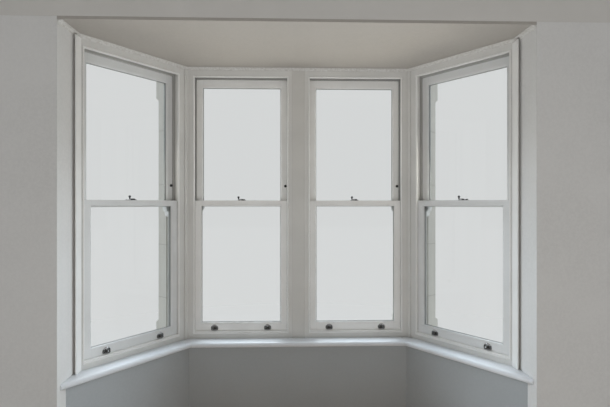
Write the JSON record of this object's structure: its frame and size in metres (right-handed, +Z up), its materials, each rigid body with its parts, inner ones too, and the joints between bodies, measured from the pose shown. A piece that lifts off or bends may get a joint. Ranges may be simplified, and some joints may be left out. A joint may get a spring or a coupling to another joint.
{
  "type": "canted bay window",
  "caption": "Canted bay of vertical sliding sash windows with stone piers, window board, low wall, hipped roof and the house wall round its opening.",
  "frame": {"origin": "middle of the footprint's bounding box, at ground level under the floor", "axes": "+Z up, +Y out to the street, +X to the right as seen from the room, with the bay the same on both sides of x = 0"},
  "size_m": [3.4, 1.1602, 3.6911],
  "materials": {
    "house_wall_masonry": "matte",
    "painted_stone": "matte",
    "white_joinery": "satin",
    "white_sashes": "satin",
    "white_beads": "satin",
    "white_trim": "satin",
    "white_board": "satin",
    "window_glass": "polished",
    "polished_chrome": "polished",
    "fastener_chrome": "satin",
    "black_rubber": "matte",
    "painted_plaster": "matte",
    "concrete_floor": "matte",
    "timber_boards": "satin",
    "slate_roof": "matte",
    "sheet_lead": "matte"
  },
  "bodies": {
    "root": {"wall_pier_left": "house_wall_masonry", "wall_pier_right": "house_wall_masonry", "header_wall": "house_wall_masonry", "apron_wall_front": "painted_stone", "apron_wall_left": "painted_stone", "apron_wall_right": "painted_stone", "plinth": "painted_stone", "stone_sill": "painted_stone", "head_course": "painted_stone", "cornice": "painted_stone", "centre_pier": "painted_stone", "corner_pier_left": "painted_stone", "corner_pier_right": "painted_stone", "end_pier_left": "painted_stone", "end_pier_right": "painted_stone", "box_frame_front_left": "white_joinery", "box_frame_front_right": "white_joinery", "box_frame_side_left": "white_joinery", "box_frame_side_right": "white_joinery", "lower_sash_front_left": "white_sashes", "lower_sash_front_right": "white_sashes", "lower_sash_side_left": "white_sashes", "lower_sash_side_right": "white_sashes", "upper_sash_front_left": "white_sashes", "upper_sash_front_right": "white_sashes", "upper_sash_side_left": "white_sashes", "upper_sash_side_right": "white_sashes", "window_glass": "window_glass", "staff_beads": "white_beads", "sash_lifts": "polished_chrome", "sash_fasteners": "fastener_chrome", "sash_stops": "black_rubber", "mullion_cover": "white_trim", "corner_covers": "white_trim", "end_posts": "white_trim", "window_board": "white_board", "wall_plaster_left": "painted_plaster", "wall_plaster_right": "painted_plaster", "apron_plaster": "painted_plaster", "skirting": "white_trim", "ceiling": "painted_plaster", "floor_slab": "concrete_floor", "floor_boards": "timber_boards", "roof": "slate_roof", "roof_lead": "sheet_lead"}
  },
  "joints": []
}
